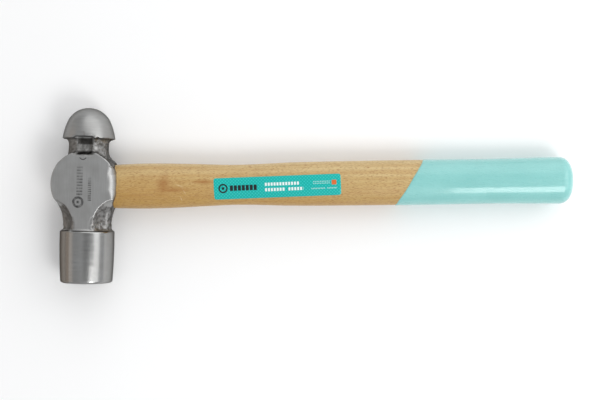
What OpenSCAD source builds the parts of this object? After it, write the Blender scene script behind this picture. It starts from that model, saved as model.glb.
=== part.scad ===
// Ball peen hammer: a forged steel head on a wedged wooden handle, lying on its side.
//
// X runs along the handle towards its butt, Y along the head towards the peen, and Z is up.
// The table is z = 0, and the origin is the middle of the hammer's footprint. The modules are
// drawn about the middle of the eye, where the head's axis and the handle's axis cross.

/* [Head] */
// Length of the head, from the striking face to the top of the peen
head_length = 113.7; // [112:0.1:115]
// Distance from the middle of the eye to the striking face
eye_to_face = 62.4; // [61.5:0.1:63]
// Length of the cylindrical bell behind the striking face
bell_length = 34; // [32:0.5:35]
// Radius of the bell where it is widest
bell_radius = 17.5; // [17.4:0.1:17.8]
// Radius of the bell just above the bevel of the striking face
bell_end_radius = 16.7; // [16.5:0.1:17.2]
// Width of the bevel round the striking face
face_bevel = 1.4; // [1:0.1:2]
// Height of the domed peen above its rim
peen_height = 19.7; // [19.2:0.1:20.5]
// Radius of the peen at its rim
peen_radius = 16.9; // [16.7:0.1:17.1]
// Radius of the ball at the tip of the peen
peen_tip_radius = 15; // [14.5:0.1:15.5]
// Radius of the neck under the peen
neck_radius = 12.9; // [12.5:0.1:13.2]
// Radius of the lower neck, above the bell
waist_radius = 15.3; // [15:0.1:15.8]

/* [Cheeks] */
// Radius of the round eye section, seen from the side
cheek_radius = 21.6; // [21.2:0.1:22]
// Thickness across the two ground cheeks
cheek_thickness = 30; // [29:0.1:31]
// Distance of the eye section's centre from the middle of the eye, towards the peen
cheek_lift = 1.6; // [1.2:0.1:2.4]
// Radius of the four scoops between the cheeks and the bell
scoop_radius = 17; // [16.5:0.1:17.3]

/* [Handle] */
// Length from the middle of the eye to the end of the butt
handle_reach = 314.4; // [300:0.2:340]
// Angle of the handle away from square, towards the peen
hang_angle = 1.9; // [0:0.1:3]
// Roundness of the oval section: 2 is an ellipse, and more is squarer
oval_power = 2.25; // [2:0.05:2.6]
// Length over which the butt is rounded
butt_round = 9.3; // [8:0.1:14]

/* [Paint and label] */
// Where the paint ends on the handle's centre line, from the middle of the eye
paint_start = 208.7; // [180:0.5:240]
// Slant of the paint's edge, away from square
paint_slant = 32.6; // [0:0.2:40]
// Thickness of the paint
paint_thickness = 0.25; // [0.2:0.05:0.4]
// Length of the label
label_length = 81.5; // [60:1:90]
// Width of the label
label_width = 13.7; // [12:0.2:16]
// Distance of the label's middle from the middle of the eye
label_middle = 123.3; // [115:0.1:130]
// Thickness of the label
label_thickness = 0.15; // [0.1:0.05:0.25]

/* [Wedges] */
// Thickness of the wooden wedge at its outer end
wood_wedge_thickness = 4; // [3:0.1:4.5]
// Depth that the wooden wedge is driven to
wood_wedge_depth = 25; // [20:1:28]
// Thickness of each steel wedge at its outer end
steel_wedge_thickness = 2.2; // [1.8:0.1:2.6]
// Width of each steel wedge
steel_wedge_width = 12; // [10:0.5:13]
// Depth that each steel wedge is driven to
steel_wedge_depth = 15; // [12:1:18]
// Distance of each steel wedge from the middle of the eye
steel_wedge_offset = 6.2; // [5:0.1:7]

/* [Hidden] */
$fn = 96;

steel = "#9a9a99";
beech = "#cfa873";
wedge_wood = "#a8784a";
wedge_steel = "#7d7f82";
mint = "#96d9d3";
teal = "#17bdb4";

face_y = -eye_to_face;
peen_top = head_length - eye_to_face;
rim_y = peen_top - peen_height;
bell_top = face_y + bell_length;
cheek_z = cheek_thickness / 2;
cheek_draft = 0.4;       // the eye section is this much smaller in radius at the cheeks
cheek_side = 2;          // half the width of its straight side
cheek_crown = 140;       // radius that the cheeks are crowned with, left and right
neck_scallop = 5;        // radius of the neck's hollow, round the head's axis, with its middle at neck_y
flank_radius = 40;       // radius of the peen's side, below the ball
rim_edge = 0.8;          // radius of the peen's rim
neck_end = 130;          // angle on the hollow at which it meets the peen's rim
neck_y = rim_y - rim_edge - neck_scallop * sin(neck_end);
flat_scallop = 7;        // radius of the hollow ground across the neck, front and back
neck_flat_z = 12;        // how far from the axis it leaves the neck
neck_flat_width = 9.6;   // how far it reaches from left to right
boss_radius = 18.7;      // the round body where the eye passes through it
boss_round = 4;          // rounding of that boss, above and below
boss_top = 16.6;         // ends of the boss, from the middle of the eye
boss_bottom = -15.6;
foot_scallop = 8;        // radius of the hollow between the boss and the upper neck
waist_y = bell_top + 5;  // start of the straight lower neck
waist_flare = 1.6;       // how much the lower neck widens as it meets the bell
scoop_centre = [23, bell_top + 5, 19.5];
grind_fillet = 4;        // radius that the ground strip runs into the bell with
bell_edge = 0.9;         // chamfer round the top of the bell
tenon_sunk = 0.4;        // how far the tenon's end lies below the head's outline
kerf_share = 0.2;        // thickness of a wedge's thin end, as a share of its thick end

ring_points = 32;        // corners of the handle's section
ring_step = 8;           // distance between sections
butt_rings = 7;
butt_power = 2.5;
tenon_start = -24;

// The handle's height and thickness along its length, from the middle of the eye
stations = [
    [-24, 27, 18.8], [-6, 25.2, 17.2], [18, 28.1, 20.4], [38, 29.4, 21.6], [66, 28.2, 19.8],
    [97, 26.1, 18.4], [132, 28.2, 20.4], [172, 29, 22.6], [212, 29.2, 23.6], [262, 28.8, 23.8],
    [292, 29.7, 24.6], [handle_reach, 30.2, 25.2]
];

// Points on an arc about centre, from angle a to angle b
function arc(centre, radius, a, b, steps) =
    [for (i = [0:steps]) centre + radius * [cos(a + (b - a) * i / steps), sin(a + (b - a) * i / steps)]];

// Smooth curve through column k of the stations, at x
function station(i) = stations[max(0, min(len(stations) - 1, i))];
function slope(i, k) = (station(i + 1)[k] - station(i - 1)[k]) / (station(i + 1)[0] - station(i - 1)[0]);
function span(x, i = 0) = i >= len(stations) - 2 || x < stations[i + 1][0] ? i : span(x, i + 1);
function hermite(t, a, b, da, db) =
    a * (2 * t ^ 3 - 3 * t ^ 2 + 1) + da * (t ^ 3 - 2 * t ^ 2 + t)
    + b * (3 * t ^ 2 - 2 * t ^ 3) + db * (t ^ 3 - t ^ 2);
function along(x, k) =
    let (i = span(x), step = stations[i + 1][0] - stations[i][0])
    hermite((x - stations[i][0]) / step, stations[i][k], stations[i + 1][k],
            slope(i, k) * step, slope(i + 1, k) * step);

// How much the butt's rounding leaves of the section at x
function butt_share(x) =
    let (t = max(0, min(1, (x - handle_reach + butt_round) / butt_round)))
    (1 - t ^ butt_power) ^ (1 / butt_power);

// One section of the handle at x, grown by skin all round
function ring(x, skin) =
    let (share = butt_share(x), a = along(x, 1) / 2 * share + skin, b = along(x, 2) / 2 * share + skin,
         push = x > handle_reach - butt_round ? skin * (1 - share) : 0)
    [for (i = [0:ring_points - 1])
        let (c = cos(360 * i / ring_points), s = sin(360 * i / ring_points))
        [x + push, a * sign(c) * abs(c) ^ (2 / oval_power), b * sign(s) * abs(s) ^ (2 / oval_power)]];

// Section places: an even grid along the handle, then closer ones round the butt
butt_start = handle_reach - butt_round;
straight_places = concat([for (x = [tenon_start:ring_step:butt_start - 1]) x], [butt_start]);
butt_places = [for (i = [1:butt_rings]) butt_start + butt_round * sin(90 * i / (butt_rings + 0.6))];

// Solid through the rings
module skinned(rings) {
    m = len(rings[0]);
    last = (len(rings) - 1) * m;
    points = [for (r = rings) each r];
    sides = [for (j = [0:m:last - m]) for (i = [0:m - 1]) let (k = (i + 1) % m)
        each [[j + i, j + m + i, j + k], [j + k, j + m + i, j + m + k]]];
    start_cap = [for (i = [0:m - 1]) i];
    end_cap = [for (i = [m - 1:-1:0]) last + i];
    polyhedron(points, concat([start_cap], sides, [end_cap]));
}

// The handle's outside, from the section at or before x = from
module handle_skin(from, skin = 0) {
    places = [for (x = concat(straight_places, butt_places)) if (x > from - ring_step) x];
    skinned([for (x = places) ring(x, skin)]);
}

// The part of the handle's outside that lies in and near the eye, which the eye is cut with
module eye_skin() {
    skinned([for (x = straight_places) if (x < -tenon_start + 1) ring(x, 0)]);
}

module on_handle() {
    rotate([0, 0, hang_angle]) children();
}

// Turns a shape drawn about Z so that it lies about the head's axis
module about_head_axis() {
    rotate([-90, 0, 0]) children();
}

// Half outline of the peen and the neck under it
module peen_outline() {
    tip = [0, peen_top - peen_tip_radius];
    join = 24;
    flank_end = 9;
    flank = tip - (flank_radius - peen_tip_radius) * [cos(join), sin(join)];
    rim = [peen_radius - rim_edge, rim_y];
    scallop = [neck_radius + neck_scallop, neck_y];
    polygon(concat(
        [[0, 0], [peen_radius - 2, 0], [peen_radius - 2, scallop[1] - neck_scallop]],
        arc(scallop, neck_scallop, 240, neck_end, 14),
        arc(rim, rim_edge, -90, flank_end, 5),
        arc(flank, flank_radius, flank_end + 2, join, 8),
        arc(tip, peen_tip_radius, join + 5.5, 90, 12)
    ));
}

// Half outline of the bell and the lower neck
module bell_outline() {
    polygon([
        [0, face_y], [bell_end_radius - face_bevel, face_y], [bell_end_radius, face_y + face_bevel],
        [(bell_radius * 2 + bell_end_radius) / 3, face_y + bell_length * 0.36],
        [bell_radius, face_y + bell_length * 0.66], [bell_radius, bell_top - bell_edge],
        [bell_radius - bell_edge, bell_top], [0, bell_top]
    ]);
}

// Half outline of the round body in the eye section: lower neck, eye boss and the upper neck's foot
module body_outline() {
    boss = boss_radius - boss_round;
    foot = [neck_radius + foot_scallop, boss_top + foot_scallop * 0.93];
    flared = waist_radius + waist_flare;
    polygon(concat(
        [[0, bell_top - 1], [flared, bell_top - 1], [flared, bell_top],
         [waist_radius + waist_flare / 4, bell_top + waist_flare * 1.4], [waist_radius, waist_y],
         [waist_radius + 0.2, boss_bottom - 7], [waist_radius + 0.8, boss_bottom - 3.5]],
        arc([boss, boss_bottom + boss_round], boss_round, -50, 0, 5),
        arc([boss, boss_top - boss_round], boss_round, 0, 55, 5),
        arc(foot, foot_scallop, 235, 182, 7),
        [[0, foot[1]]]
    ));
}

// Section across the two gently crowned cheeks
module cheek_section() {
    intersection_for(up = [-1, 1]) translate([0, up * (cheek_crown - cheek_z)]) circle(r = cheek_crown);
}

// The round section that the eye passes through
module eye_section() {
    small = cheek_radius - cheek_draft;
    intersection() {
        translate([0, cheek_lift, 0]) rotate_extrude()
            polygon([[0, -cheek_z], [small, -cheek_z], [cheek_radius, -cheek_side],
                     [cheek_radius, cheek_side], [small, cheek_z], [0, cheek_z]]);
        about_head_axis() linear_extrude(height = 3 * cheek_radius, center = true) cheek_section();
    }
}

// The round body, ground flat in line with the cheeks
module body() {
    intersection() {
        about_head_axis() rotate_extrude() body_outline();
        about_head_axis() linear_extrude(height = 4 * cheek_radius, center = true) cheek_section();
        rotate([90, 0, 90]) linear_extrude(height = 3 * cheek_radius, center = true) {
            translate([bell_top + grind_fillet, -cheek_z]) square([eye_to_face, cheek_thickness]);
            difference() {
                translate([bell_top - 1, -bell_radius]) square([grind_fillet + 1.01, 2 * bell_radius]);
                for (up = [-1, 1])
                    translate([bell_top + grind_fillet, up * (cheek_z + grind_fillet)])
                        circle(r = grind_fillet);
            }
        }
    }
}

module scoops() {
    for (side = [0, 1], up = [0, 1])
        mirror([side, 0, 0]) mirror([0, 0, up]) translate(scoop_centre) sphere(r = scoop_radius);
}

module neck_flats() {
    for (up = [-1, 1])
        translate([0, neck_y + 0.3, up * (neck_flat_z + flat_scallop)])
            rotate([0, 90, 0]) cylinder(r = flat_scallop, h = neck_flat_width, center = true);
}

module head() {
    color(steel) difference() {
        union() {
            difference() {
                union() {
                    about_head_axis() rotate_extrude() peen_outline();
                    eye_section();
                    body();
                }
                neck_flats();
                scoops();
            }
            about_head_axis() rotate_extrude() bell_outline();
        }
        on_handle() eye_skin();
    }
}

// Outline that the tenon's end is trimmed to, just below the head's own
module tenon_trim() {
    translate([0, cheek_lift, 0])
        cylinder(r = cheek_radius - tenon_sunk, h = cheek_thickness, center = true);
    translate([handle_reach / 2, 0, 0])
        cube([handle_reach * 1.1, 4 * cheek_radius, 2 * cheek_thickness], center = true);
}

// A wedge's prism: thick at its outer end, past the tenon, and thin at the bottom of its slot
module wedge_prism(depth, thickness, width) {
    outer = -cheek_radius - 3;
    inner = -cheek_radius + depth;
    thin = thickness * kerf_share / 2;
    linear_extrude(height = width, center = true)
        polygon([[outer, -thickness / 2], [outer, thickness / 2], [inner, thin], [inner, -thin]]);
}

module wood_wedge_prism() {
    rotate([90, 0, 0]) wedge_prism(wood_wedge_depth, wood_wedge_thickness, 3 * cheek_radius);
}

module steel_wedge_prism(side) {
    translate([0, side * steel_wedge_offset, 0])
        wedge_prism(steel_wedge_depth, steel_wedge_thickness, steel_wedge_width);
}

// Keeps what lies inside the head's outline at the tenon's end
module trimmed_to_tenon() {
    intersection() {
        on_handle() children();
        tenon_trim();
    }
}

module handle() {
    color(beech) difference() {
        trimmed_to_tenon() handle_skin(tenon_start);
        on_handle() {
            wood_wedge_prism();
            for (side = [-1, 1]) steel_wedge_prism(side);
        }
    }
}

module wood_wedge() {
    color(wedge_wood) difference() {
        intersection() {
            on_handle() eye_skin();
            on_handle() wood_wedge_prism();
            tenon_trim();
        }
        on_handle() for (side = [-1, 1]) steel_wedge_prism(side);
    }
}

module steel_wedge(side) {
    color(wedge_steel) trimmed_to_tenon() steel_wedge_prism(side);
}

module paint() {
    color(mint) on_handle() difference() {
        intersection() {
            handle_skin(paint_start - 2 * ring_step, paint_thickness);
            translate([paint_start, 0, 0]) rotate([0, 0, -paint_slant])
                translate([0, -handle_reach / 2, -cheek_radius])
                    cube([handle_reach, handle_reach, 2 * cheek_radius]);
        }
        handle_skin(paint_start - 3 * ring_step);
    }
}

module label() {
    tilt = 1.4;
    shift = -1.7;
    corner = 1.4;
    color(teal) on_handle() difference() {
        intersection() {
            handle_skin(label_middle - label_length, label_thickness);
            translate([label_middle, shift, 0]) rotate([0, 0, tilt]) linear_extrude(height = cheek_z)
                offset(r = corner)
                    square([label_length - 2 * corner, label_width - 2 * corner], center = true);
        }
        handle_skin(label_middle - label_length - ring_step);
    }
}

// Moves the hammer from the middle of the eye to its place on the table
module laid_down() {
    butt_end = handle_reach * cos(hang_angle) + paint_thickness;
    tenon_end = tenon_sunk - cheek_radius;
    translate([-(butt_end + tenon_end) / 2, -(peen_top + face_y) / 2, bell_radius]) children();
}

laid_down() head();
laid_down() handle();
laid_down() wood_wedge();
laid_down() steel_wedge(-1);  // steel_wedge_lower
laid_down() steel_wedge(1);  // steel_wedge_upper
laid_down() paint();
laid_down() label();
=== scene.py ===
"""Ball peen hammer: a forged head wedged onto a beech handle with a painted grip, seen from straight above.

Lengths are in millimetres about the middle of the eye, where the head's axis and the handle's axis cross, until
row_frame() turns them into the frame's metres. X runs along the handle, Y along the head, and Z is up.
"""
import math

import bpy
import numpy as np
from mathutils import Euler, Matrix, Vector, noise


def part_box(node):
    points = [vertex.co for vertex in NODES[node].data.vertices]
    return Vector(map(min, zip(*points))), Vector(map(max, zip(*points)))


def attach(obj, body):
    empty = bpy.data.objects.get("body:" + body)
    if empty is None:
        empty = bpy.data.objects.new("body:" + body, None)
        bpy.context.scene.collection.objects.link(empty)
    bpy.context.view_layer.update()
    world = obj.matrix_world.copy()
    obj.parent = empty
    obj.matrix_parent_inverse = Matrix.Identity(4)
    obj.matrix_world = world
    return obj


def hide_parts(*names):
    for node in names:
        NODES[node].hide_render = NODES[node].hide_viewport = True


MM = 0.001

# Head, as in the CAD
HEAD_LENGTH = 113.7
EYE_TO_FACE = 62.4
FACE_Y = -EYE_TO_FACE
PEEN_TOP = HEAD_LENGTH - EYE_TO_FACE
BELL_TOP = FACE_Y + 34.0
BELL_RADIUS = 17.5
BELL_END_RADIUS = 16.7
FACE_BEVEL = 1.4
PEEN_RADIUS = 16.9
PEEN_TIP = 15.0
PEEN_JOIN = math.radians(24)
PEEN_FLANK = 40.0
RIM_Y = PEEN_TOP - 19.7
NECK_APOTHEM = 12.6
HOLLOW_Y = 26.6
WAIST_RADIUS = 15.3
BOSS_RADIUS = 18.7
CHEEK_RADIUS = 21.6
CHEEK_LIFT = 1.6
CHEEK_Z = 15.0
CHEEK_DRAFT = 0.4
CHEEK_CROWN = 140.0
SCOOP_CENTRE = (23.0, BELL_TOP + 5.0, 19.5)
SCOOP_RADIUS = 17.0
HEAD_GRID = 0.46

# Handle, as in the CAD
HANDLE_REACH = 314.4
HANG_ANGLE = math.radians(1.9)
OVAL_POWER = 2.25
BUTT_ROUND = 9.3
BUTT_POWER = 2.5
STATIONS = np.array([
    (-24, 27, 18.8), (-6, 25.2, 17.2), (18, 28.1, 20.4), (38, 29.4, 21.6), (66, 28.2, 19.8),
    (97, 26.1, 18.4), (132, 28.2, 20.4), (172, 29, 22.6), (212, 29.2, 23.6), (262, 28.8, 23.8),
    (292, 29.7, 24.6), (HANDLE_REACH, 30.2, 25.2),
])
TENON_RADIUS = CHEEK_RADIUS - 0.7

# Paint and label
PAINT_START = 208.7
PAINT_SLANT = math.radians(32.6)
PAINT_THICKNESS = 0.25
LABEL_MIDDLE = 123.3
LABEL_SHIFT = -1.7
LABEL_TILT = math.radians(1.4)
LABEL_LENGTH = 81.5
LABEL_WIDTH = 13.7
LABEL_CORNER = 1.4
LABEL_THICKNESS = 0.14

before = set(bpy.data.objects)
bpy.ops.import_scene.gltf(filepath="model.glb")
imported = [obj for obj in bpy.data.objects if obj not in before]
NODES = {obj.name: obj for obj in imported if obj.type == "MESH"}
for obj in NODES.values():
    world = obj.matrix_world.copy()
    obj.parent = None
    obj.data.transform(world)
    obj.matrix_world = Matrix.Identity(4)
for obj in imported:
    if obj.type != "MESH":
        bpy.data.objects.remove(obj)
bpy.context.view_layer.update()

head_low, head_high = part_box("head")
EYE = Vector(((head_low.x + head_high.x) / 2, head_low.y + EYE_TO_FACE * MM, head_low.z + BELL_RADIUS * MM))


def row_frame(points):
    """Points in millimetres about the eye, as metres in the row frame."""
    return np.asarray(points) * MM + np.array(EYE)


def hung(points):
    """Points beside a handle that lies along X, turned to the handle's real angle."""
    p = np.asarray(points, dtype=float)
    c, s = math.cos(HANG_ANGLE), math.sin(HANG_ANGLE)
    return np.column_stack([p[:, 0] * c - p[:, 1] * s, p[:, 0] * s + p[:, 1] * c, p[:, 2]])


def mesh_piece(name, points, faces, material, replaced):
    """A smooth mesh of the object, riding on the root body and standing for the CAD nodes in replaced."""
    mesh = bpy.data.meshes.new(name)
    mesh.from_pydata(row_frame(points).tolist(), [], faces)
    mesh.validate()
    mesh.shade_smooth()
    mesh.materials.append(material)
    piece = bpy.data.objects.new(name, mesh)
    bpy.context.scene.collection.objects.link(piece)
    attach(piece, "root")
    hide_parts(*replaced)
    return piece


def add_attribute(mesh, name, values):
    """A value at each vertex, which a material reads by its name."""
    attribute = mesh.attributes.new(name, "FLOAT", "POINT")
    attribute.data.foreach_set("value", np.asarray(values, dtype=np.float32))


def noise_at(points, scale, octaves=3, seed=0.0):
    """Fractal noise from about -1 to 1 at each point, with features about scale millimetres wide."""
    shift = Vector((seed, seed * 1.7, -seed))
    return np.array([noise.fractal(Vector(p) / scale + shift, 1.0, 2.0, octaves) for p in points])


# ---------------------------------------------------------------- the head's shape

def both(a, b, radius):
    """Where two solids overlap, with the edge between them rounded."""
    corner = np.hypot(a + radius, b + radius) - radius
    return np.where((a > -radius) & (b > -radius), corner, np.maximum(a, b))


def either(a, b, radius):
    """Two solids joined, with a fillet between them."""
    return -both(-a, -b, radius)


def bell_distance(r, y):
    width = np.interp(y, [FACE_Y + FACE_BEVEL, FACE_Y + 12.2, FACE_Y + 22.4],
                      [BELL_END_RADIUS, BELL_RADIUS - 0.27, BELL_RADIUS])
    crown = 0.45 * (r / BELL_END_RADIUS) ** 2
    shank = both(r - width, y - BELL_TOP, 1.2)
    return both(shank, FACE_Y + crown - y, FACE_BEVEL)


def peen_distance(r, y, lip=0.0):
    tip = PEEN_TOP - PEEN_TIP
    reach = PEEN_FLANK - PEEN_TIP
    ball = np.hypot(r, y - tip) - PEEN_TIP
    flank = np.hypot(r + reach * math.cos(PEEN_JOIN), y - tip + reach * math.sin(PEEN_JOIN)) - PEEN_FLANK
    dome = np.where(np.arctan2(y - tip, r) > PEEN_JOIN, ball, flank)
    return both(dome, RIM_Y - 0.7 - lip - y, 0.9)


def neck_distance(x, y, z):
    """The upper neck: eight flats, hollowed at the front and back, between the eye and the peen."""
    turns = np.arange(4) * math.pi / 4
    flats = np.max([np.abs(x * math.cos(t) + z * math.sin(t)) for t in turns], axis=0) - NECK_APOTHEM
    round_neck = np.hypot(x, z) - NECK_APOTHEM - 0.6
    side = both(flats, round_neck, 1.0)
    return both(side, np.abs(y - 25) - 12, 0.5)


def body_distance(r, y):
    """The round body that the eye passes through, down to the bell."""
    boss_edge = [BELL_TOP - 2, -22.9, -19.1, -15.4, -11.9, 13.5, 16.4, 18.4]
    boss_width = [WAIST_RADIUS, WAIST_RADIUS + 0.2, WAIST_RADIUS + 0.7, BOSS_RADIUS - 1.6, BOSS_RADIUS,
                  BOSS_RADIUS, BOSS_RADIUS - 1.8, BOSS_RADIUS - 4.2]
    side = (r - np.interp(y, boss_edge, boss_width)) * 0.9
    return np.maximum(side, np.maximum(y - 19, BELL_TOP - 3 - y))


def cheek_distance(x, z):
    """The two ground cheeks, gently crowned from left to right."""
    return np.hypot(x, np.abs(z) + CHEEK_CROWN - CHEEK_Z) - CHEEK_CROWN


def scoop_distance(x, y, z):
    return np.sqrt((np.abs(x) - SCOOP_CENTRE[0]) ** 2 + (y - SCOOP_CENTRE[1]) ** 2
                   + (np.abs(z) - SCOOP_CENTRE[2]) ** 2) - SCOOP_RADIUS


def handle_half_sizes(x):
    """Half the handle's height and thickness at x, on the same smooth curve as the CAD's."""
    place, sizes = STATIONS[:, 0], STATIONS[:, 1:]
    slopes = np.empty_like(sizes)
    slopes[1:-1] = (sizes[2:] - sizes[:-2]) / (place[2:] - place[:-2])[:, None]
    slopes[0] = (sizes[1] - sizes[0]) / (place[1] - place[0])
    slopes[-1] = (sizes[-1] - sizes[-2]) / (place[-1] - place[-2])
    x = np.clip(x, place[0], place[-1])
    i = np.clip(np.searchsorted(place, x, side="right") - 1, 0, len(place) - 2)
    step = place[i + 1] - place[i]
    t = ((x - place[i]) / step)[..., None]
    step = step[..., None]
    curve = (sizes[i] * (2 * t ** 3 - 3 * t ** 2 + 1) + slopes[i] * step * (t ** 3 - 2 * t ** 2 + t)
             + sizes[i + 1] * (3 * t ** 2 - 2 * t ** 3) + slopes[i + 1] * step * (t ** 3 - t ** 2))
    return curve[..., 0] / 2, curve[..., 1] / 2


def eye_distance(x, y, z):
    """The oval eye, which has the tenon's own outline."""
    c, s = math.cos(HANG_ANGLE), math.sin(HANG_ANGLE)
    along, across = x * c + y * s, y * c - x * s
    a, b = handle_half_sizes(along)
    share = ((np.abs(across) / a) ** OVAL_POWER + (np.abs(z) / b) ** OVAL_POWER) ** (1 / OVAL_POWER)
    return (share - 1) * b


def head_distance(p):
    """Signed distance to the head's surface, negative inside."""
    x, y, z = p[..., 0], p[..., 1], p[..., 2]
    r = np.hypot(x, z)
    cheeks = cheek_distance(x, z)
    draft = CHEEK_DRAFT * np.clip((np.abs(z) - 2) / (CHEEK_Z - 2), 0, 1)
    disc = np.hypot(x, y - CHEEK_LIFT) - CHEEK_RADIUS + draft
    polished_edge = 0.6 + np.interp(x, [4, 16], [0, 5.4]) * np.interp(y, [-9, -2, 8, 15], [0, 1, 1, 0])
    middle = both(either(disc, body_distance(r, y), 1.5), cheeks, polished_edge)
    middle = either(middle, neck_distance(x, y, z), 3.2)
    middle = both(middle, -scoop_distance(x, y, z), 0.4)
    notch = np.maximum(np.maximum(np.abs(x + 2.0) - 2.4, y - RIM_Y - 3.0), 15.9 - z)
    ragged_lip = 0.5 * np.sin(1.3 * x - 0.4) * np.interp(x, [1, 3, 9, 12], [0, 1, 1, 0]) * (z > 0)
    peen = both(peen_distance(r, y, ragged_lip), -notch, 0.4)
    upper = either(middle, peen, 3.6)
    hollow = np.maximum(np.hypot(y - HOLLOW_Y, np.abs(z) - 18.0) - 7.0, y - RIM_Y - 0.4)
    hollow_side = (np.abs(x) - 3.6 - 0.8 * (np.abs(z) - 11.0)) * 0.78
    upper = both(upper, -both(hollow, hollow_side, 1.5), 1.3)
    whole = either(upper, bell_distance(r, y), 2.0)
    return both(whole, -eye_distance(x, y, z), 0.5)


def surface_net(distance, low, high, step):
    """Quads over the surface where distance is zero, one vertex to each grid cell that the surface crosses."""
    axes = [np.arange(a, b + step, step) for a, b in zip(low, high)]
    grid = np.stack(np.meshgrid(*axes, indexing="ij"), axis=-1)
    field = distance(grid).astype(np.float32)
    inside = field < 0
    corners = [(i, j, k) for i in (0, 1) for j in (0, 1) for k in (0, 1)]
    size = np.array(field.shape) - 1
    count = sum(inside[i:size[0] + i, j:size[1] + j, k:size[2] + k].astype(np.int8) for i, j, k in corners)
    crossed = (count > 0) & (count < 8)
    cell = np.full(crossed.shape, -1, dtype=np.int64)
    cell[crossed] = np.arange(crossed.sum())
    vertices = np.argwhere(crossed) * step + np.array(low) + step / 2
    quads = []
    for axis in range(3):
        near = np.moveaxis(inside, axis, 0)[:-1, 1:-1, 1:-1]
        far = np.moveaxis(inside, axis, 0)[1:, 1:-1, 1:-1]
        cells = np.moveaxis(cell, axis, 0)
        ring = [cells[:, :-1, :-1], cells[:, 1:, :-1], cells[:, 1:, 1:], cells[:, :-1, 1:]]
        for change, order in ((near & ~far, (0, 1, 2, 3)), (far & ~near, (3, 2, 1, 0))):
            order = order if axis != 1 else order[::-1]
            quads.append(np.column_stack([ring[n][change] for n in order]))
    return vertices, np.concatenate(quads)


def gradient(distance, p, reach=0.05):
    steps = np.eye(3) * reach
    slope = np.column_stack([distance(p + s) - distance(p - s) for s in steps]) / (2 * reach)
    return slope / np.maximum(np.linalg.norm(slope, axis=1, keepdims=True), 1e-6)


def forged_share(p):
    """1 where the surface is as it left the dies, and 0 where it was ground."""
    x, y, z = p[:, 0], p[:, 1], p[:, 2]
    r = np.hypot(x, z)
    edge = 0.35 * noise_at(p, 2.2, seed=3.0)
    cheeks = cheek_distance(x, z)
    disc_side = np.abs(np.hypot(x, y - CHEEK_LIFT) - CHEEK_RADIUS) < 6.5
    in_middle = (y > BELL_TOP + 0.7) & (y < RIM_Y - 0.4 + edge)
    ground = (cheeks > -0.35 + edge * 0.3) | (disc_side & (np.abs(y + 2 * edge) < 12.5) & (np.abs(x) > 13))
    share = (in_middle & ~ground).astype(float)
    share[(r > WAIST_RADIUS + 1.2) & (y < BELL_TOP + 1.4)] = 0
    return share


def smoothed(values, faces, rounds):
    """Values at the vertices, blurred along the mesh."""
    for _ in range(rounds):
        total = np.zeros_like(values)
        number = np.zeros_like(values)
        mean = values[faces].mean(axis=1)
        for corner in range(4):
            np.add.at(total, faces[:, corner], mean)
            np.add.at(number, faces[:, corner], 1)
        values = total / np.maximum(number, 1)
    return values


def make_head(material):
    low, high = (-22.4, FACE_Y - 1, -19.3), (22.4, PEEN_TOP + 1, 19.3)
    points, faces = surface_net(head_distance, low, high, HEAD_GRID)
    for _ in range(4):
        normals = gradient(head_distance, points)
        points = points - normals * np.clip(head_distance(points), -0.3, 0.3)[:, None]
    normals = gradient(head_distance, points)
    forged = smoothed(forged_share(points), faces, 2)
    dents = 0.28 * noise_at(points, 5.0, 2, seed=1.0) + 0.20 * noise_at(points, 1.9, 4, seed=2.0)
    waves = 0.035 * noise_at(points, 9.0, 2, seed=5.0)
    in_eye = eye_distance(*points.T) < 0.3
    smooth_left = np.interp(points[:, 0], [-7, -2], [0.25, 1]) * (points[:, 1] > 18) + (points[:, 1] <= 18)
    dents = dents * smooth_left
    flash = np.exp(-(points[:, 2] / 0.8) ** 2) * (0.25 + 0.35 * noise_at(points, 2.6, 2, seed=7.0))
    lift = np.where(in_eye, 0, forged * (dents + flash - 0.15) + (1 - forged) * (waves - 0.04))
    # How closed in each point is, kept for painted shade: the material darkens concave corners and recesses with
    # it
    enclosed_shade = np.clip(1 - head_distance(points + 3.0 * normals) / 3.0, 0, 1)
    points = points + normals * lift[:, None]
    head = mesh_piece("hammer_head", points, faces.tolist(), material, ["head"])
    add_attribute(head.data, "forged", forged)
    add_attribute(head.data, "enclosed_shade", smoothed(enclosed_shade, faces, 2))
    x, y, z = points.T
    turned = ((y < BELL_TOP + 0.8) | (y > RIM_Y - 0.6)).astype(float)
    add_attribute(head.data, "turned", smoothed(turned, faces, 2))
    return head


# ---------------------------------------------------------------- the handle, its wedges, paint and label

def butt_share(x):
    """How much the butt's rounding leaves of the section at x."""
    t = np.clip((x - HANDLE_REACH + BUTT_ROUND) / BUTT_ROUND, 0, 1)
    return (1 - t ** BUTT_POWER) ** (1 / BUTT_POWER)


def oval(angle):
    """Unit point of the handle's section at an angle: its y and z."""
    c, s = np.cos(angle), np.sin(angle)
    return np.sign(c) * np.abs(c) ** (2 / OVAL_POWER), np.sign(s) * np.abs(s) ** (2 / OVAL_POWER)


def handle_point(x, angle, skin=0.0):
    """A point on the handle's surface, skin millimetres out."""
    a, b = handle_half_sizes(x)
    share = butt_share(x)
    oy, oz = oval(angle)
    push = np.where(x > HANDLE_REACH - BUTT_ROUND, skin * (1 - share), 0)
    return np.stack([x + push, (a * share + skin) * oy, (b * share + skin) * oz], axis=-1)


def loft_faces(rows, columns, flip=False):
    """Quads between rings of points, each ring closed on itself."""
    faces = []
    for j in range(rows - 1):
        for i in range(columns):
            k = (i + 1) % columns
            quad = (j * columns + i, j * columns + k, (j + 1) * columns + k, (j + 1) * columns + i)
            faces.append(quad[::-1] if flip else quad)
    return faces


AROUND = 120
ANGLES = np.arange(AROUND) * 2 * math.pi / AROUND


def butt_places(start):
    """Where the rings go: every 1.5 mm along the handle, then closer together round the butt."""
    straight = np.arange(start, HANDLE_REACH - BUTT_ROUND, 1.5)
    turn = np.sin(np.linspace(0, math.pi / 2, 26)[:-1]) * BUTT_ROUND + HANDLE_REACH - BUTT_ROUND
    return np.concatenate([straight, turn])


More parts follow.
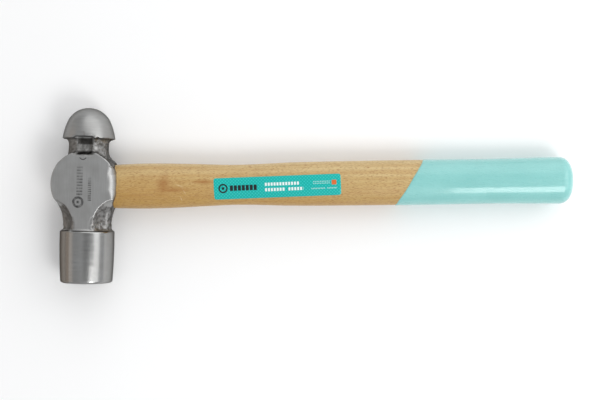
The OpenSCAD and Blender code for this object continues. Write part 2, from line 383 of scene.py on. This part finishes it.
def tenon_end(y, z, depth=0.0):
    """The x at which the tenon is trimmed flush with the head's round side."""
    return -np.sqrt((TENON_RADIUS - depth) ** 2 - (y - CHEEK_LIFT) ** 2)


def make_handle(material):
    rings = []
    end_steps = 14
    a, b = handle_half_sizes(np.array(-20.0))
    oy, oz = oval(ANGLES)
    for share in np.linspace(0.02, 1, end_steps):
        y, z = a * oy * share, b * oz * share
        bulge = 0.1 * noise_at(np.column_stack([y, z, z * 0]), 2.0, seed=4.0)
        rings.append(np.column_stack([tenon_end(y, z) + bulge, y, z]))
    for x in butt_places(-11.0):
        rings.append(handle_point(np.full(AROUND, x), ANGLES))
    points = np.concatenate(rings)
    rows = len(rings)
    tip = points[-AROUND:].mean(axis=0)
    root = points[:AROUND].mean(axis=0)
    waves = 0.05 * noise_at(points / (6, 1, 1), 4.0, 2, seed=6.0)
    outward = points * (0, 1, 1)
    outward = outward / np.maximum(np.linalg.norm(outward, axis=1, keepdims=True), 1e-6)
    beyond_eye = np.clip((points[:, 0] - 22) / 6, 0, 1)
    points = points + outward * ((waves - 0.03) * beyond_eye)[:, None]
    faces = loft_faces(rows, AROUND, flip=True)
    last = (rows - 1) * AROUND
    faces += [(i, (i + 1) % AROUND, len(points)) for i in range(AROUND)]
    faces += [(last + (i + 1) % AROUND, last + i, len(points) + 1) for i in range(AROUND)]
    points = np.concatenate([points, [root, tip]])
    return mesh_piece("beech_handle", hung(points), faces, material, ["handle"])


def make_paint(material):
    """A dip coat: thickest a little behind its slanted edge, which wanders slightly."""
    wander = 0.35 * noise_at(np.column_stack([np.cos(ANGLES), np.sin(ANGLES), ANGLES * 0]) * 9, 4.0, seed=8.0)
    middle_y = handle_point(np.full(AROUND, PAINT_START), ANGLES)[:, 1]
    start = PAINT_START + middle_y * math.tan(PAINT_SLANT) + wander
    rings = []
    lip = [(0.0, -0.03), (0.05, 0.10), (0.25, 0.20), (0.7, 0.25), (1.5, 0.26), (3.0, 0.24)]
    for ahead, skin in lip:
        rings.append(handle_point(start + ahead, ANGLES, skin))
    lip_end = start + lip[-1][0]
    last_straight = HANDLE_REACH - BUTT_ROUND
    for share in np.linspace(0, 1, 70)[1:-1]:
        rings.append(handle_point(lip_end + (last_straight - lip_end) * share, ANGLES, PAINT_THICKNESS))
    for x in butt_places(last_straight):
        rings.append(handle_point(np.full(AROUND, x), ANGLES, PAINT_THICKNESS))
    points = np.concatenate(rings)
    sag = 0.04 * noise_at(points / (3, 1, 1), 7.0, 2, seed=9.0)
    outward = points * (0, 1, 1)
    outward = outward / np.maximum(np.linalg.norm(outward, axis=1, keepdims=True), 1e-6)
    settled = np.clip((points[:, 0] - np.tile(start, len(rings))) / 3, 0, 1)
    points = points + outward * ((sag - 0.02) * settled)[:, None]
    rows = len(rings)
    last = (rows - 1) * AROUND
    tip = points[-AROUND:].mean(axis=0)
    faces = loft_faces(rows, AROUND, flip=True)
    faces += [(last + (i + 1) % AROUND, last + i, len(points)) for i in range(AROUND)]
    points = np.concatenate([points, [tip]])
    return mesh_piece("grip_paint", hung(points), faces, material, ["paint"])


def label_corner_reach(v):
    """Half the label's length at a distance v across it, inside its rounded corners."""
    past = np.maximum(np.abs(v) - (LABEL_WIDTH / 2 - LABEL_CORNER), 0)
    return LABEL_LENGTH / 2 - LABEL_CORNER + np.sqrt(np.maximum(LABEL_CORNER ** 2 - past ** 2, 0))


def make_label(material):
    """A printed film bent to the handle's side, with a map of its own flat sheet for the print."""
    across = np.sin(np.linspace(-math.pi / 2, math.pi / 2, 25)) * LABEL_WIDTH / 2
    along = np.linspace(-1, 1, 121)
    u = np.concatenate([along * label_corner_reach(v) for v in across])
    v = np.repeat(across, len(along))
    c, s = math.cos(LABEL_TILT), math.sin(LABEL_TILT)
    x = LABEL_MIDDLE + u * c - v * s
    y = LABEL_SHIFT + u * s + v * c
    a, b = handle_half_sizes(x)
    z = b * (1 - (np.abs(y) / a) ** OVAL_POWER) ** (1 / OVAL_POWER)
    edge = np.minimum(LABEL_WIDTH / 2 - np.abs(v), label_corner_reach(v) - np.abs(u))
    lift = np.where(edge < 0.01, -0.02, LABEL_THICKNESS)
    points = np.column_stack([x, y, z + lift])
    columns = len(along)
    faces = [(j * columns + i, j * columns + i + 1, (j + 1) * columns + i + 1, (j + 1) * columns + i)
             for j in range(len(across) - 1) for i in range(columns - 1)]
    label = mesh_piece("label_film", hung(points), faces, material, ["label"])
    flat = label.data.uv_layers.new(name="print_mm")
    corners = np.array([loop.vertex_index for loop in label.data.loops])
    flat.data.foreach_set("uv", np.column_stack([u[corners], v[corners]]).ravel())
    return label


# ---------------------------------------------------------------- materials

class Nodes:
    """Short names for building one material's node tree."""

    def __init__(self, name):
        self.material = bpy.data.materials.new(name)
        self.material.use_nodes = True
        self.tree = self.material.node_tree
        self.shader = self.tree.nodes["Principled BSDF"]
        self.place = self.add("ShaderNodeTexCoord").outputs["Object"]

    def add(self, kind, **settings):
        node = self.tree.nodes.new(kind)
        for key, value in settings.items():
            setattr(node, key, value)
        return node

    def link(self, source, target):
        self.tree.links.new(source, target)

    def feed(self, socket, value):
        if isinstance(value, bpy.types.NodeSocket):
            self.link(value, socket)
        else:
            socket.default_value = value

    def math(self, operation, *values, clamp=False):
        node = self.add("ShaderNodeMath", operation=operation, use_clamp=clamp)
        for socket, value in zip(node.inputs, values):
            self.feed(socket, value)
        return node.outputs[0]

    def mapped(self, stretch):
        """The place in millimetres about the eye, divided by stretch along each axis."""
        node = self.add("ShaderNodeMapping", vector_type="TEXTURE")
        self.link(self.place, node.inputs["Vector"])
        node.inputs["Location"].default_value = EYE
        node.inputs["Scale"].default_value = [size * MM for size in stretch]
        return node.outputs[0]

    def noise(self, vector, scale=1.0, detail=3.0, roughness=0.5):
        node = self.add("ShaderNodeTexNoise")
        self.link(vector, node.inputs["Vector"])
        node.inputs["Scale"].default_value = scale
        node.inputs["Detail"].default_value = detail
        node.inputs["Roughness"].default_value = roughness
        return node.outputs["Fac"]

    def colour_noise(self, vector):
        """Three separate noises from 0 to 1, as a vector."""
        node = self.add("ShaderNodeTexNoise")
        self.link(vector, node.inputs["Vector"])
        node.inputs["Scale"].default_value = 1.0
        return node.outputs["Color"]

    def shifted(self, vector, shift):
        node = self.add("ShaderNodeVectorMath", operation="ADD")
        self.link(vector, node.inputs[0])
        node.inputs[1].default_value = shift
        return node.outputs[0]

    def range(self, value, low, high, to_low=0.0, to_high=1.0):
        node = self.add("ShaderNodeMapRange")
        for socket, number in zip(node.inputs, (value, low, high, to_low, to_high)):
            self.feed(socket, number)
        return node.outputs[0]

    def mix(self, share, first, second):
        node = self.add("ShaderNodeMix", data_type="RGBA")
        self.feed(node.inputs[0], share)
        self.feed(node.inputs[6], first if isinstance(first, bpy.types.NodeSocket) else (*first, 1))
        self.feed(node.inputs[7], second if isinstance(second, bpy.types.NodeSocket) else (*second, 1))
        return node.outputs[2]

    def attribute(self, name):
        return self.add("ShaderNodeAttribute", attribute_name=name).outputs["Fac"]

    def bump(self, height, distance, strength=1.0, before=None):
        node = self.add("ShaderNodeBump")
        node.inputs["Distance"].default_value = distance
        node.inputs["Strength"].default_value = strength
        self.link(height, node.inputs["Height"])
        if before is not None:
            self.link(before, node.inputs["Normal"])
        return node.outputs[0]

    def box(self, u, v, middle_u, middle_v, length, width, soft=0.12):
        """1 inside an upright box of the flat sheet, falling to 0 over soft millimetres."""
        du = self.math("SUBTRACT", self.math("ABSOLUTE", self.math("SUBTRACT", u, middle_u)), length / 2)
        dv = self.math("SUBTRACT", self.math("ABSOLUTE", self.math("SUBTRACT", v, middle_v)), width / 2)
        return self.range(self.math("MAXIMUM", du, dv), soft / 2, -soft / 2)

    def strokes(self, u, v, start, end, middle_v, width, step, share=0.66):
        """A row of plain upright strokes from start to end, one every step millimetres, each a share of a step."""
        row = self.box(u, v, (start + end) / 2, middle_v, end - start, width)
        along = self.math("WRAP", self.math("SUBTRACT", u, start), step, 0.0)
        return self.math("MULTIPLY", row, self.range(along, (share + 0.04) * step, (share - 0.04) * step))

    def ring(self, u, v, middle_u, middle_v, radius, width, soft=0.15):
        """1 on a round ring of the flat sheet."""
        du, dv = self.math("SUBTRACT", u, middle_u), self.math("SUBTRACT", v, middle_v)
        away = self.math("SQRT", self.math("ADD", self.math("MULTIPLY", du, du), self.math("MULTIPLY", dv, dv)))
        off = self.math("SUBTRACT", self.math("ABSOLUTE", self.math("SUBTRACT", away, radius)), width / 2)
        return self.range(off, soft / 2, -soft / 2)

    def any(self, shares):
        total = shares[0]
        for share in shares[1:]:
            total = self.math("MAXIMUM", total, share)
        return total


def steel_material():
    """Bright ground steel, and dark scaly steel where the forging was left alone."""
    m = Nodes("head_steel")
    forged = m.attribute("forged")
    turned = m.attribute("turned")
    around = m.noise(m.mapped((9, 0.6, 9)), detail=4, roughness=0.6)
    lengthwise = m.noise(m.mapped((0.3, 16, 0.3)), detail=4, roughness=0.65)
    grind = m.math("ADD", m.math("MULTIPLY", around, turned),
                   m.math("MULTIPLY", lengthwise, m.math("SUBTRACT", 1.0, turned)))
    cloud = m.noise(m.mapped((9, 9, 9)), detail=3)
    scale_spots = m.noise(m.mapped((2.6, 2.6, 2.6)), detail=4, roughness=0.6)
    height = m.add("ShaderNodeSeparateXYZ")
    m.link(m.mapped((1, 1, 1)), height.inputs[0])
    bell = m.range(height.outputs["Y"], BELL_TOP + 1.0, BELL_TOP - 0.5)
    flats = m.mix(m.range(grind, 0.35, 0.65), (0.375, 0.375, 0.37), (0.455, 0.455, 0.45))
    # Painted shade: near-black bands at the two ends of the front hollow, under the peen's rim and against the
    # cheek's wall
    ends = [m.box(height.outputs["X"], height.outputs["Y"], 0.3, middle, 9.6, tall, soft=1.2)
            for middle, tall in ((29.4, 4.8), (21.4, 2.6))]
    hollow = m.box(height.outputs["X"], height.outputs["Y"], 0.3, 25.4, 9.6, 12.0, soft=1.2)
    painted_hollow_shade = m.math("MULTIPLY", m.any(ends), m.range(height.outputs["Z"], 9.0, 10.0, 0.0, 0.9))
    rounds = m.mix(m.range(grind, 0.35, 0.65), (0.31, 0.31, 0.305), (0.36, 0.36, 0.355))
    dome = m.range(height.outputs["Y"], RIM_Y - 1.5, RIM_Y)
    bright = m.mix(m.math("MAXIMUM", bell, dome), flats, rounds)
    bright = m.mix(m.range(cloud, 0.35, 0.7, 0.0, 0.5), bright, (0.31, 0.305, 0.295))
    # Painted reflection: the bell's left side is darkened to a brownish grey, standing in for the dim warm
    # surroundings it mirrors
    painted_bell_reflection = m.math("MULTIPLY", bell, m.range(height.outputs["X"], -7.4, -8.6, 0.0, 0.8))
    bright = m.mix(painted_bell_reflection, bright, (0.215, 0.19, 0.165))
    scaly = m.mix(m.range(scale_spots, 0.34, 0.68), (0.10, 0.097, 0.092), (0.355, 0.35, 0.345))
    # Toward the left the forged surface is evened out and darker: smoother scale, and painted shade on that side
    scaly = m.mix(m.range(height.outputs["X"], -3.0, -9.0, 0.0, 0.65), scaly, (0.165, 0.155, 0.142))
    scaly = m.mix(m.math("MULTIPLY", hollow, 0.7), scaly, (0.20, 0.197, 0.19))
    # Painted shade: forged steel darkened to near black where the surface is closed in, in corners and recesses
    scaly = m.mix(m.range(m.attribute("enclosed_shade"), 0.12, 0.50, 0.0, 0.85), scaly, (0.03, 0.027, 0.024))
    # Painted shade at the front hollow's two ends
    scaly = m.mix(painted_hollow_shade, scaly, (0.025, 0.023, 0.021))
    mark = cheek_mark(m)
    bright = m.mix(mark, bright, (0.05, 0.05, 0.05))
    m.link(m.mix(forged, bright, scaly), m.shader.inputs["Base Color"])
    m.shader.inputs["Metallic"].default_value = 1.0
    m.shader.inputs["Specular Tint"].default_value = (0.25, 0.245, 0.24, 1)
    ground_rough = m.math("SUBTRACT", m.range(grind, 0.3, 0.7, 0.35, 0.41), m.math("MULTIPLY", bell, 0.14))
    forged_rough = m.range(scale_spots, 0.3, 0.7, 0.52, 0.28)
    rough = m.math("ADD", m.math("MULTIPLY", ground_rough, m.math("SUBTRACT", 1.0, forged)),
                   m.math("MULTIPLY", forged_rough, forged))
    m.link(m.math("ADD", rough, m.math("MULTIPLY", mark, 0.2)), m.shader.inputs["Roughness"])
    pits = m.math("MULTIPLY", scale_spots, forged)
    first = m.bump(pits, 0.7 * MM)
    lines = m.math("MULTIPLY", grind, m.math("SUBTRACT", 1.0, forged))
    second = m.bump(lines, 0.006 * MM, before=first)
    facets = m.math("MULTIPLY", m.noise(m.mapped((1.2, 30, 1.2)), detail=3), bell)
    m.link(m.bump(facets, 0.012 * MM, before=second), m.shader.inputs["Normal"])
    return m.material


def cheek_mark(m):
    """A plain ring and two columns of worn bars etched on the upper cheek, and a nick at the cheek's top."""
    split = m.add("ShaderNodeSeparateXYZ")
    m.link(m.mapped((1, 1, 1)), split.inputs[0])
    x, y, z = split.outputs
    bars = [m.ring(x, y, -3.0, -9.9, 2.9, 1.5), m.box(x, y, -3.0, -9.9, 1.6, 1.6)]
    bars += [m.strokes(y, x, -5.6, 13.0, -2.1, 3.8, 1.9), m.strokes(y, x, -9.0, 6.0, 4.2, 2.1, 1.35)]
    worn = m.range(m.noise(m.mapped((2.0, 3.0, 2.4)), detail=3), 0.36, 0.72, 1.0, 0.3)
    faded = m.range(y, -10.0, 14.0, 1.0, 0.4)
    upper = m.range(z, CHEEK_Z - 1.2, CHEEK_Z - 0.8)
    etched = m.math("MULTIPLY", m.any(bars), m.math("MULTIPLY", worn, faded))
    crescent = m.math("MULTIPLY", m.ring(x, y, -0.3, 19.4, 2.2, 0.7), m.range(y, 18.6, 18.2, 0.0, 0.8))
    return m.math("MULTIPLY", m.any([etched, crescent]), upper)


def along_handle(m):
    """The place in millimetres along, across and up from the handle's axis."""
    move = m.add("ShaderNodeMapping", vector_type="TEXTURE")
    m.link(m.place, move.inputs["Vector"])
    move.inputs["Location"].default_value = EYE
    move.inputs["Rotation"].default_value = (0, 0, HANG_ANGLE)
    move.inputs["Scale"].default_value = (MM, MM, MM)
    return move.outputs[0]


def stretched(m, source, sizes):
    """source divided by sizes along each axis."""
    node = m.add("ShaderNodeVectorMath", operation="DIVIDE")
    m.link(source, node.inputs[0])
    node.inputs[1].default_value = sizes
    return node.outputs[0]


def spot(m, place, middle, sizes, turn=0.0):
    """1 at a point beside the handle, falling to 0 at the edge of an ellipsoid round it, turned about Z."""
    node = m.add("ShaderNodeMapping", vector_type="TEXTURE")
    m.link(place, node.inputs["Vector"])
    node.inputs["Location"].default_value = middle
    node.inputs["Rotation"].default_value = (0, 0, math.radians(turn))
    node.inputs["Scale"].default_value = sizes
    length = m.add("ShaderNodeVectorMath", operation="LENGTH")
    m.link(node.outputs[0], length.inputs[0])
    return m.range(length.outputs["Value"], 1.0, 0.0)


# Marks on the wood, in millimetres along, across and up from the handle's axis: (middle, half sizes, darkness)
STAINS = [
    ((50.5, 0.5, 10), (6.0, 9.0, 8), 0.9), ((56.0, -3.0, 10), (12.0, 2.8, 8), 0.7),
    ((76.0, 2.0, 9), (8.0, 2.4, 8), 0.8), ((29.4, 3.0, 10.5), (1.0, 0.8, 5), 1.0),
    ((106.0, 11.3, 5), (1.4, 1.1, 5), 0.9), ((171.0, 0.3, 11), (1.0, 0.9, 5), 0.8),
    ((181.8, 9.8, 7.5), (1.0, 0.9, 5), 0.9), ((37.0, -6.0, 9), (14.0, 1.2, 8), 0.4),
    ((40.0, 6.0, 9), (18.0, 2.5, 8), 0.3),
]
# and pale scratches: (middle, half sizes, turn in degrees)
SCRATCHES = [
    ((60.5, -0.3, 9.5), (3.4, 0.5, 5), -24), ((63.5, -4.0, 9), (3.0, 0.45, 5), -58),
    ((61.5, -8.6, 8), (2.2, 0.45, 5), -70),
]


def beech_material():
    """Beech: pale, with soft growth bands, many short dark ray flecks, and a few stains and scratches."""
    m = Nodes("beech")
    place = along_handle(m)
    split = m.add("ShaderNodeSeparateXYZ")
    m.link(place, split.inputs[0])
    warp = m.noise(stretched(m, place, (60, 9, 9)), detail=2)
    bands = m.noise(stretched(m, place, (95, 2.6, 3.2)), detail=3, roughness=0.6)
    fibre = m.noise(stretched(m, place, (11, 0.32, 0.32)), detail=3, roughness=0.6)
    flecks = m.noise(stretched(m, place, (1.9, 0.28, 0.28)), detail=1.5, roughness=0.4)
    # Painted shade: the wood is mixed pale toward +Y, the side the upper lights fall on, and dark toward -Y; the
    # warp noise adds random variation across the grain, and the mix pales a little along the handle toward the
    # butt
    across = m.math("ADD", split.outputs["Y"], m.math("MULTIPLY", m.math("SUBTRACT", warp, 0.5), 9.0))
    painted_side_light_and_warp = m.math("ADD", across, m.range(split.outputs["X"], 20.0, 210.0, -6.0, 7.0))
    side_shade_and_warp_share = m.range(painted_side_light_and_warp, 12.0, -12.0)
    wood = m.mix(side_shade_and_warp_share, (0.59, 0.445, 0.212), (0.445, 0.26, 0.062))
    wood = m.mix(m.range(bands, 0.40, 0.62, 0.0, 0.5), wood, (0.42, 0.225, 0.055))
    wood = m.mix(m.range(fibre, 0.45, 0.7, 0.0, 0.35), wood, (0.62, 0.45, 0.215))
    wood = m.mix(m.range(flecks, 0.54, 0.67, 0.0, 0.8), wood, (0.29, 0.13, 0.03))
    ragged = m.add("ShaderNodeVectorMath", operation="MULTIPLY_ADD")
    m.link(m.colour_noise(stretched(m, place, (5, 2, 2))), ragged.inputs[0])
    ragged.inputs[1].default_value = (3.0, 1.6, 0.0)
    m.link(place, ragged.inputs[2])
    place_now = m.shifted(ragged.outputs[0], (-1.5, -0.8, 0.0))
    stains = [m.math("MULTIPLY", spot(m, place_now, middle, sizes), share) for middle, sizes, share in STAINS]
    scratches = m.any([spot(m, place, middle, sizes, turn) for middle, sizes, turn in SCRATCHES])
    streaky = m.range(bands, 0.35, 0.6, 0.55, 1.0)
    wood = m.mix(m.math("MULTIPLY", m.any(stains), streaky), wood, (0.31, 0.12, 0.022))
    wood = m.mix(m.math("MULTIPLY", scratches, m.range(fibre, 0.4, 0.6, 0.0, 0.6)), wood, (0.82, 0.70, 0.50))
    end_grain = m.range(split.outputs["X"], -15.5, -17.0)
    rings = m.noise(stretched(m, place, (8, 0.9, 5)), detail=3)
    end_colour = m.mix(m.range(rings, 0.35, 0.65), (0.40, 0.24, 0.11), (0.24, 0.13, 0.055))
    m.link(m.mix(end_grain, wood, end_colour), m.shader.inputs["Base Color"])
    m.link(m.range(fibre, 0.3, 0.7, 0.36, 0.52), m.shader.inputs["Roughness"])
    m.shader.inputs["Coat Weight"].default_value = 0.12
    m.shader.inputs["Coat Roughness"].default_value = 0.3
    grain = m.math("ADD", m.math("MULTIPLY", fibre, 0.6), m.math("MULTIPLY", flecks, -0.5))
    m.link(m.bump(grain, 0.12 * MM), m.shader.inputs["Normal"])
    return m.material


def paint_material():
    """Thick mint dip paint: glossy, faintly uneven, with dust and small rubs."""
    m = Nodes("mint_paint")
    place = along_handle(m)
    cloud = m.noise(stretched(m, place, (26, 12, 12)), detail=3)
    dust = m.noise(stretched(m, place, (0.5, 0.5, 0.5)), detail=2)
    rubs = m.noise(stretched(m, place, (9, 1.1, 1.1)), detail=4, roughness=0.7)
    colour = m.mix(m.range(cloud, 0.3, 0.7), (0.205, 0.53, 0.505), (0.235, 0.57, 0.545))
    colour = m.mix(m.range(rubs, 0.66, 0.78, 0.0, 0.35), colour, (0.36, 0.66, 0.64))
    colour = m.mix(m.range(dust, 0.70, 0.78, 0.0, 0.4), colour, (0.15, 0.42, 0.40))
    m.link(colour, m.shader.inputs["Base Color"])
    m.link(m.range(rubs, 0.35, 0.75, 0.26, 0.40), m.shader.inputs["Roughness"])
    m.shader.inputs["Coat Weight"].default_value = 0.8
    m.shader.inputs["Coat Roughness"].default_value = 0.11
    peel = m.noise(stretched(m, place, (1.7, 0.75, 0.75)), detail=4, roughness=0.6)
    first = m.bump(peel, 0.33 * MM)
    m.link(m.bump(cloud, 0.6 * MM, before=first), m.shader.inputs["Normal"])
    return m.material


def label_material():
    """Teal film with a halftone tint, printed with plain bars, a ring and an orange square."""
    m = Nodes("label_film")
    flat = m.add("ShaderNodeUVMap", uv_map="print_mm").outputs[0]
    split = m.add("ShaderNodeSeparateXYZ")
    m.link(flat, split.inputs[0])
    u, v = split.outputs[0], split.outputs[1]
    pitch = 2.1
    dots = m.math("MULTIPLY", m.math("SINE", m.math("MULTIPLY", u, 2 * math.pi / pitch)),
                  m.math("SINE", m.math("MULTIPLY", v, 2 * math.pi / pitch)))
    colour = m.mix(m.range(dots, 0.1, 0.4), (0.002, 0.395, 0.355), (0.03, 0.53, 0.49))
    worn = m.noise(flat, scale=0.35, detail=4)
    colour = m.mix(m.range(worn, 0.62, 0.75, 0.0, 0.3), colour, (0.06, 0.50, 0.46))
    dark = [m.ring(u, v, -34.8, 0.1, 2.5, 1.0), m.box(u, v, -34.8, 0.1, 1.6, 1.6)]
    dark.append(m.strokes(u, v, -30.4, -12.6, 0.1, 3.5, 2.54, share=0.78))
    white = [m.strokes(u, v, start, end, row, 2.0, 1.87)
             for start, end, row in ((-7.9, 14.5, 1.75), (-7.9, 5.2, -1.75), (7.1, 16.6, -1.75))]
    small = [m.strokes(u, v, 23.0, 33.6, row, 0.6, 1.1) for row in (2.3, 1.1)]
    small += [m.strokes(u, v, start, end, -2.1, 0.8, 1.0) for start, end in ((21.8, 30.6), (32.0, 38.2))]
    colour = m.mix(m.any(dark), colour, (0.012, 0.016, 0.018))
    colour = m.mix(m.any(white), colour, (0.76, 0.82, 0.81))
    colour = m.mix(m.math("MULTIPLY", m.any(small), 0.45), colour, (0.76, 0.82, 0.81))
    colour = m.mix(m.box(u, v, 36.4, 1.5, 3.0, 3.0), colour, (0.66, 0.14, 0.035))
    m.link(colour, m.shader.inputs["Base Color"])
    m.link(m.range(worn, 0.3, 0.7, 0.30, 0.42), m.shader.inputs["Roughness"])
    m.shader.inputs["Specular IOR Level"].default_value = 0.3
    film = m.noise(flat, scale=0.6, detail=2)
    m.link(m.bump(film, 0.05 * MM), m.shader.inputs["Normal"])
    return m.material


def wedge_wood_material():
    """The wooden wedge's sawn end: darker than the tenon, with fine layers across it."""
    m = Nodes("wedge_wood")
    layers = m.noise(m.mapped((3, 6, 0.35)), detail=3)
    pores = m.noise(m.mapped((0.4, 0.4, 0.4)), detail=2)
    colour = m.mix(m.range(layers, 0.35, 0.65), (0.33, 0.19, 0.09), (0.20, 0.11, 0.05))
    colour = m.mix(m.range(pores, 0.6, 0.7, 0.0, 0.6), colour, (0.09, 0.045, 0.02))
    m.link(colour, m.shader.inputs["Base Color"])
    m.link(m.range(layers, 0.3, 0.7, 0.5, 0.7), m.shader.inputs["Roughness"])
    m.link(m.bump(pores, 0.15 * MM), m.shader.inputs["Normal"])
    return m.material


def wedge_steel_material():
    """A steel wedge: ground end with coarse scratches and a little rust bloom."""
    m = Nodes("wedge_steel")
    scratches = m.noise(m.mapped((2, 0.25, 2.5)), detail=4, roughness=0.7)
    bloom = m.noise(m.mapped((2.5, 2.5, 2.5)), detail=4)
    colour = m.mix(m.range(scratches, 0.35, 0.65), (0.27, 0.27, 0.275), (0.45, 0.45, 0.45))
    colour = m.mix(m.range(bloom, 0.58, 0.72, 0.0, 0.6), colour, (0.22, 0.12, 0.07))
    m.link(colour, m.shader.inputs["Base Color"])
    m.shader.inputs["Metallic"].default_value = 1.0
    m.link(m.range(bloom, 0.4, 0.7, 0.34, 0.6), m.shader.inputs["Roughness"])
    m.link(m.bump(scratches, 0.08 * MM), m.shader.inputs["Normal"])
    return m.material


def repaint(node, material):
    """Gives a CAD node that stays in view its material."""
    data = NODES[node].data
    data.materials.clear()
    data.materials.append(material)


# ---------------------------------------------------------------- the studio

def floor_material():
    m = Nodes("studio_floor")
    tint = m.noise(m.mapped((180, 180, 180)), detail=2)
    m.link(m.mix(tint, (0.93, 0.93, 0.93), (0.95, 0.95, 0.95)), m.shader.inputs["Base Color"])
    m.shader.inputs["Roughness"].default_value = 0.9
    return m.material


def make_floor():
    """A wide pale table, tipped by a degree so that it meets the bell, the peen's rim and the butt."""
    bell = Vector((EYE.x, EYE.y + BELL_TOP * MM, head_low.z))
    rise_y = (BELL_RADIUS - PEEN_RADIUS) / (RIM_Y - BELL_TOP)
    low_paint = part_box("paint")[0]
    butt_x = EYE.x + (HANDLE_REACH - BUTT_ROUND) * MM
    butt_y = EYE.y + math.sin(HANG_ANGLE) * HANDLE_REACH * MM
    rise_x = (low_paint.z - head_low.z - (butt_y - bell.y) * rise_y) / (butt_x - bell.x)
    span = 6.0
    corners = [(x, y, bell.z - 0.0002 + (x - bell.x) * rise_x + (y - bell.y) * rise_y)
               for x, y in ((-span, -span), (span, -span), (span, span), (-span, span))]
    mesh = bpy.data.meshes.new("studio_floor")
    mesh.from_pydata(corners, [], [(0, 1, 2, 3)])
    mesh.materials.append(floor_material())
    floor = bpy.data.objects.new("studio_floor", mesh)
    bpy.context.scene.collection.objects.link(floor)


def soft_light(name, place, target, size, watts, colour=(1, 1, 1)):
    """A rectangular soft light at place, aimed at target, both in metres about the eye."""
    data = bpy.data.lights.new(name, "AREA")
    data.shape = "RECTANGLE"
    data.size, data.size_y = size
    data.energy = watts
    data.color = colour
    light = bpy.data.objects.new(name, data)
    light.location = EYE + Vector(place)
    aim = Vector(target) - Vector(place)
    light.rotation_euler = aim.to_track_quat("-Z", "Y").to_euler()
    bpy.context.scene.collection.objects.link(light)


def make_studio():
    world = bpy.data.worlds.new("studio")
    world.use_nodes = True
    tree = world.node_tree
    background = tree.nodes["Background"]
    background.inputs["Color"].default_value = (0.97, 0.985, 1.0, 1)
    direction = tree.nodes.new("ShaderNodeTexCoord").outputs["Generated"]
    split = tree.nodes.new("ShaderNodeSeparateXYZ")
    tree.links.new(direction, split.inputs[0])
    dimmer_left = tree.nodes.new("ShaderNodeMapRange")
    overhead = tree.nodes.new("ShaderNodeVectorMath")
    overhead.operation = "DOT_PRODUCT"
    overhead.inputs[1].default_value = (0.2, 0, 0.98)
    tree.links.new(direction, overhead.inputs[0])
    dimmer_above = tree.nodes.new("ShaderNodeMapRange")
    for node, settings in ((dimmer_left, (-0.95, -0.1, 0.47, 0.68)), (dimmer_above, (0.93, 0.985, 1.0, 0.55))):
        for socket, number in zip(list(node.inputs)[1:5], settings):
            socket.default_value = number
    strength = tree.nodes.new("ShaderNodeMath")
    strength.operation = "MULTIPLY"
    tree.links.new(split.outputs["X"], dimmer_left.inputs[0])
    tree.links.new(overhead.outputs["Value"], dimmer_above.inputs[0])
    tree.links.new(dimmer_left.outputs[0], strength.inputs[0])
    tree.links.new(dimmer_above.outputs[0], strength.inputs[1])
    tree.links.new(strength.outputs[0], background.inputs["Strength"])
    bpy.context.scene.world = world
    soft_light("fill_top", (0.85, 1.3, 1.0), (0.1, 0, 0), (3.0, 1.8), 16.6)
    soft_light("strip_front", (0.70, -0.60, 1.0), (0.70, 0, 0), (0.5, 0.5), 5.6)
    soft_light("key_right", (1.18, 0.0, 0.88), (0.0, 0, 0), (1.3, 0.62), 3.3)
    soft_light("low_left", (-1.1, 0.0, 0.42), (0, 0, 0), (1.3, 0.75), 1.1, (1.0, 0.80, 0.63))


def make_camera():
    """Looks straight down from 0.6 m, a little to the right of the head."""
    data = bpy.data.cameras.new("camera")
    data.sensor_width = 36
    data.lens = 55.3
    camera = bpy.data.objects.new("camera", data)
    camera.location = EYE + Vector((0.1380, -0.0059, 0.6))
    camera.rotation_euler = Euler((0, 0, math.radians(1.1)))
    bpy.context.scene.collection.objects.link(camera)
    bpy.context.scene.camera = camera
    bpy.context.scene.view_settings.view_transform = "Standard"


make_camera()
make_studio()
make_floor()
make_head(steel_material())
make_handle(beech_material())
make_paint(paint_material())
make_label(label_material())
repaint("wood_wedge", wedge_wood_material())
for wedge in ("steel_wedge_lower", "steel_wedge_upper"):
    repaint(wedge, wedge_steel_material())
